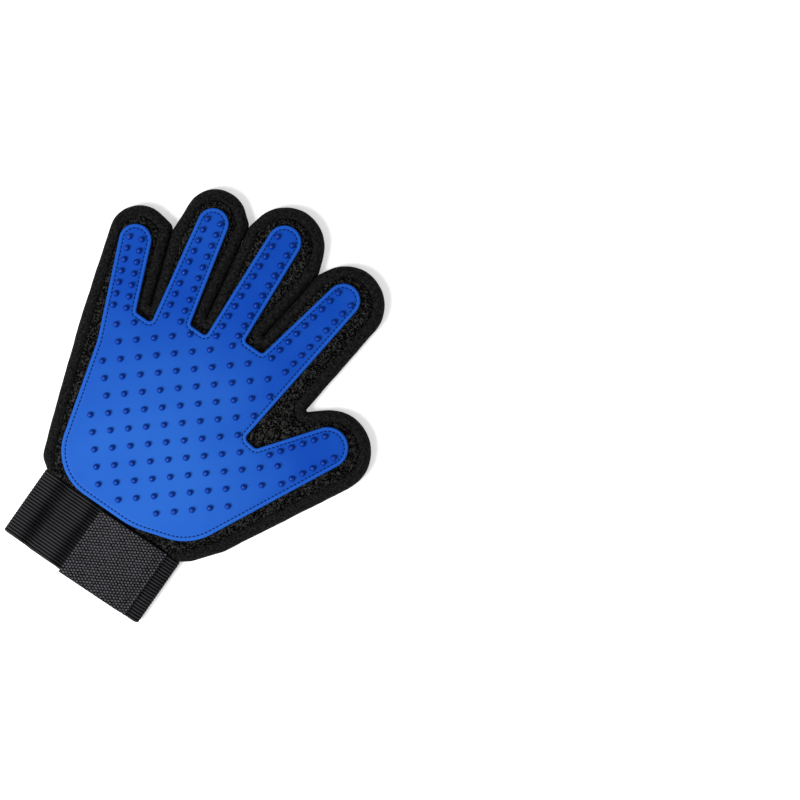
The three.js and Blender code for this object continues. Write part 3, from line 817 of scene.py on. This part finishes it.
def pile_top(x, y):
    """The tips of the pile, which is lower round its edge."""
    beside = (x < PATCH_LOW[0] + PATCH_EDGE) | (x > PATCH_HIGH[0] - PATCH_EDGE)
    beside |= (y < PATCH_LOW[1] + PATCH_EDGE) | (y > PATCH_HIGH[1] - PATCH_EDGE)
    return PATCH_TOP + tuft[:x.shape[0], :x.shape[1]] - EDGE_DROP * beside


patch_shape = cushion(PATCH_LOW, PATCH_HIGH, PATCH_PITCH, pile_top,
                      lambda x, y: np.full_like(x, PATCH_UNDER))
patch = as_piece("loop_pile_patch", patch_shape, pile)
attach(patch, "palm")
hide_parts("loop_patch")

# ---- Hook tab ----
# A strip of woven nylon hook tape, sewn to the band's short end. It folds back over the band, hooks
# down, and its woven face shows.
TAB_LEFT, TAB_RIGHT, TAB_LOW, TAB_HIGH = -6.5, 36.2, -0.9, 38.9
TAB_FACE, TAB_UNDER = 12.0, 10.75
# The weave's repeats per mm, along the tab and up it.
WEAVE_ALONG, WEAVE_UP = 0.33, 0.58

TAPE_GREY = (0.03, 0.03, 0.031, 1)
tape, tape_shader, tape_place = new_material("hook_tape", Base_Color=TAPE_GREY, Roughness=0.6)
tape_shader.inputs["Specular IOR Level"].default_value = 0.05
tape_uv = Socket(tape.node_tree, tape.node_tree.nodes.new("ShaderNodeUVMap").outputs[0])
tape_x, tape_y, _ = tape_uv.parts()
tape_x = tape_x + tape_place.noise(420.0, 2.0) * 1.2
tape_y = tape_y + tape_place.noise(510.0, 2.0) * 1.0
hexagons = ((tape_x * WEAVE_ALONG + tape_y * WEAVE_UP) * math.tau).sin()
hexagons = hexagons + ((tape_x * WEAVE_ALONG - tape_y * WEAVE_UP) * math.tau).sin()
hexagons = hexagons + (tape_x * (2 * WEAVE_ALONG * math.tau) - math.pi / 2).sin() * 0.7
yarn = ((tape_x * 1.6 + tape_y * 2.4) * math.tau).sin() * 0.5 + 0.5
wear = tape_place.noise(900.0, 3.0)
shade = hexagons * 0.24 + yarn * 0.2 + wear * 0.7 + tape_place.noise(50.0) * 0.25
tape_colour = shade.step(0.35, 1.05).blend((0.0002, 0.0002, 0.0003), (0.082, 0.081, 0.092))
connect(tape_colour, tape_shader, "Base Color")
relief(hexagons * 0.2 + yarn * 0.3 + wear * 0.3, tape_shader, 0.7, 0.25 * MM)


DIP_START, DIP_LENGTH, DIP_DEPTH = 29.5, 5.0, 1.45


def sewn_dip(x):
    """How far the tab comes down to the band near its sewn end, in mm: 3 t^2 - 2 t^3 of the depth,
    where t runs from 0 to 1 over the dip's length."""
    t = np.clip((x - DIP_START) / DIP_LENGTH, 0, 1)
    return DIP_DEPTH * t * t * (3 - 2 * t)


def tape_face(x, y):
    """The tape's woven face: a hexagonal lattice of raised floats, flat along both selvedges."""
    wave = (np.sin((x * WEAVE_ALONG + y * WEAVE_UP) * math.tau)
            + np.sin((x * WEAVE_ALONG - y * WEAVE_UP) * math.tau)
            - np.cos(x * 2 * WEAVE_ALONG * math.tau) * 0.7)
    edge = np.minimum(y - TAB_LOW, TAB_HIGH - y)
    woven = np.clip((edge - 0.9) / 0.4, 0, 1)
    return TAB_FACE + 0.035 * wave * woven - 0.25 * np.exp(-edge / 0.25) - sewn_dip(x)


tab_shape = cushion((TAB_LEFT, TAB_LOW), (TAB_RIGHT, TAB_HIGH), 0.25, tape_face,
                    lambda x, y: TAB_UNDER - sewn_dip(x))
HOOK_STEPS = np.arange(TAB_LEFT + 1.5, 28.5, 1.7), np.arange(2.0, 37.5, 1.6)
hook_x, hook_y = np.meshgrid(*HOOK_STEPS, indexing="ij")
HOOK = [(0.28, 0.0), (0.2, -0.1), (0.2, -0.3), (0.34, -0.42), (0.0, -0.45)]
HOOK_SIDES = 6
hook_places = np.stack([hook_x.ravel(), hook_y.ravel()], 1) * MM + (0, WRIST)
hooks = new_shape(*domes(hook_places, HOOK, HOOK_SIDES, TAB_UNDER * MM))
bmesh.ops.recalc_face_normals(hooks, faces=hooks.faces)
TILT = 0.022
for shape, name in ((tab_shape, "woven_hook_tab"), (hooks, "tab_hooks")):
    piece = as_piece(name, shape, tape)
    # The tab is sewn on a little askew, so that it rises towards its sewn end.
    places = np.empty(len(piece.data.vertices) * 3, np.float32)
    piece.data.vertices.foreach_get("co", places)
    places[1::3] += np.maximum(0, places[::3] - TAB_LEFT * MM) * TILT
    piece.data.vertices.foreach_set("co", places)
    piece.data.update()
    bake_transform(piece)
    if name == "woven_hook_tab":
        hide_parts("hook_tab")
